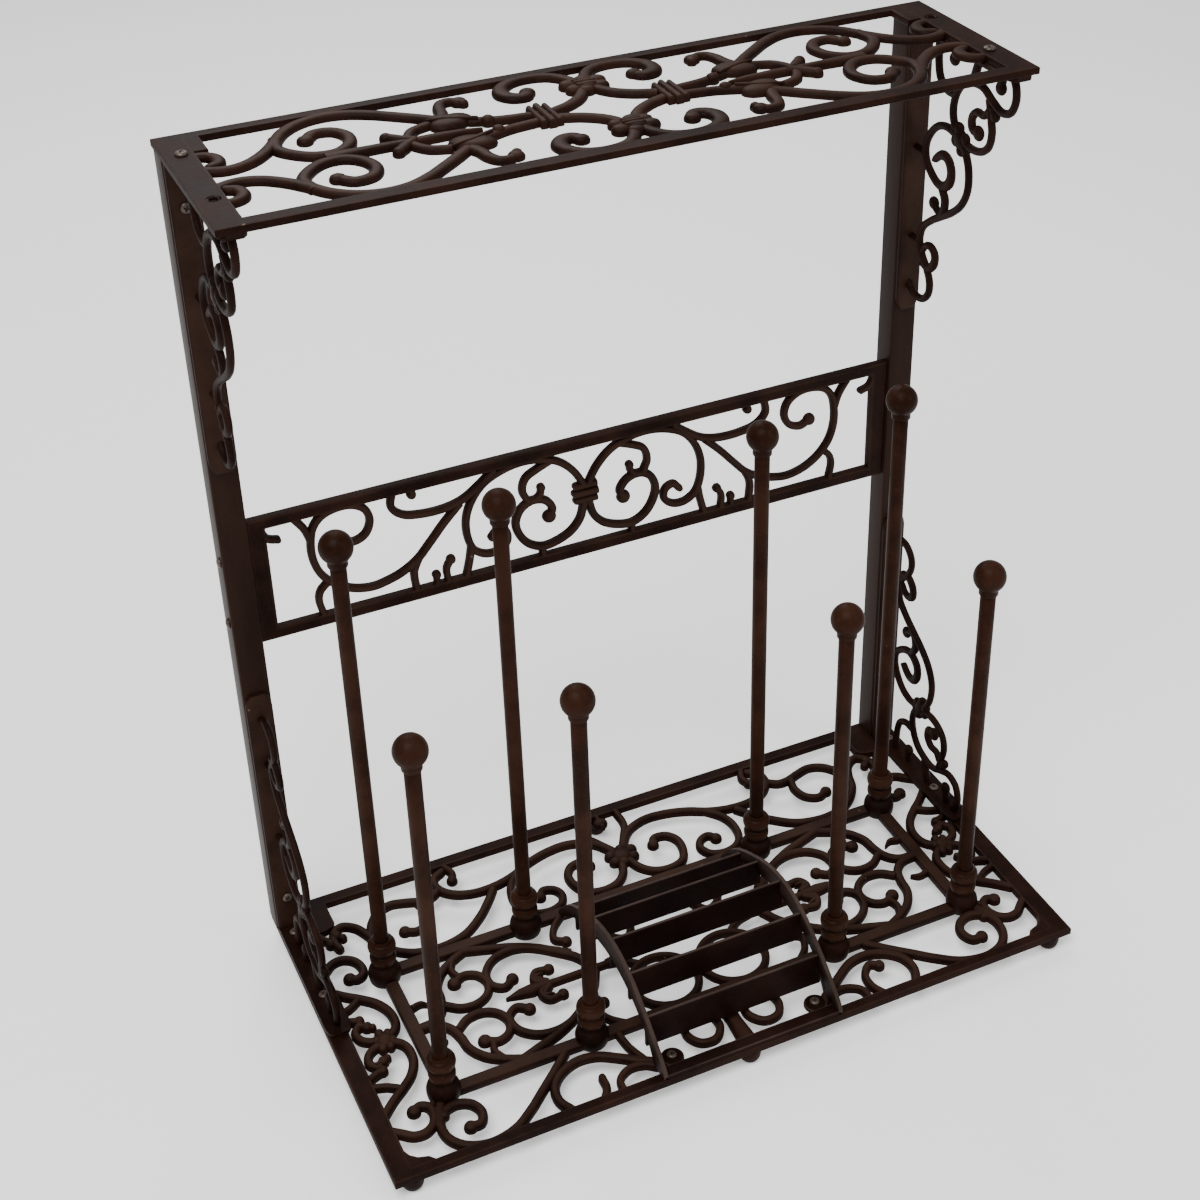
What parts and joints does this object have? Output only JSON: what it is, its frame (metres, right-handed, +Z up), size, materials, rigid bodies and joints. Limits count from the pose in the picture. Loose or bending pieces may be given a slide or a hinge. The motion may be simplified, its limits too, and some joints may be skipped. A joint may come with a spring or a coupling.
{
  "type": "umbrella stand",
  "caption": "Cast iron boot rack with scroll-work base, boot posts, a scraper arch and a raised scroll-work grate that umbrellas and sticks stand through.",
  "frame": {"origin": "centre of the footprint on the floor, under the middle of the base", "axes": "+X to the right along the width, -Y towards the open front with the scraper, +Z up"},
  "size_m": [0.6072, 0.318, 0.7276],
  "materials": {
    "casting": "satin rust-brown paint over grainy cast iron",
    "tube": "satin rust-brown paint on steel tube",
    "post": "satin red-brown paint, slightly polished by use",
    "screw": "worn bare steel"
  },
  "bodies": {
    "root": {"base_grate": "casting", "boot_scraper": "casting", "foot_back_left": "casting", "foot_back_middle": "casting", "foot_back_right": "casting", "foot_front_left": "casting", "foot_front_middle": "casting", "foot_front_right": "casting", "left_lower_bracket": "casting", "left_upper_bracket": "casting", "left_upright": "tube", "mid_panel": "casting", "post_ball_back_left_inner": "post", "post_ball_back_left_outer": "post", "post_ball_back_right_inner": "post", "post_ball_back_right_outer": "post", "post_ball_front_left_inner": "post", "post_ball_front_left_outer": "post", "post_ball_front_right_inner": "post", "post_ball_front_right_outer": "post", "post_collar_back_left_inner": "post", "post_collar_back_left_outer": "post", "post_collar_back_right_inner": "post", "post_collar_back_right_outer": "post", "post_collar_front_left_inner": "post", "post_collar_front_left_outer": "post", "post_collar_front_right_inner": "post", "post_collar_front_right_outer": "post", "post_rod_back_left_inner": "post", "post_rod_back_left_outer": "post", "post_rod_back_right_inner": "post", "post_rod_back_right_outer": "post", "post_rod_front_left_inner": "post", "post_rod_front_left_outer": "post", "post_rod_front_right_inner": "post", "post_rod_front_right_outer": "post", "right_lower_bracket": "casting", "right_upper_bracket": "casting", "right_upright": "tube", "screw_base_front_left": "screw", "screw_base_front_right": "screw", "screw_base_rear_left": "screw", "screw_base_rear_right": "screw", "screw_bracket_lower_left": "screw", "screw_bracket_lower_right": "screw", "screw_bracket_upper_left": "screw", "screw_bracket_upper_right": "screw", "screw_panel_lower_left": "screw", "screw_panel_lower_right": "screw", "screw_panel_upper_left": "screw", "screw_panel_upper_right": "screw", "screw_scraper_left": "screw", "screw_scraper_right": "screw", "screw_shelf_left_rear": "screw", "screw_shelf_right_front": "screw", "top_grate": "casting"}
  },
  "joints": []
}
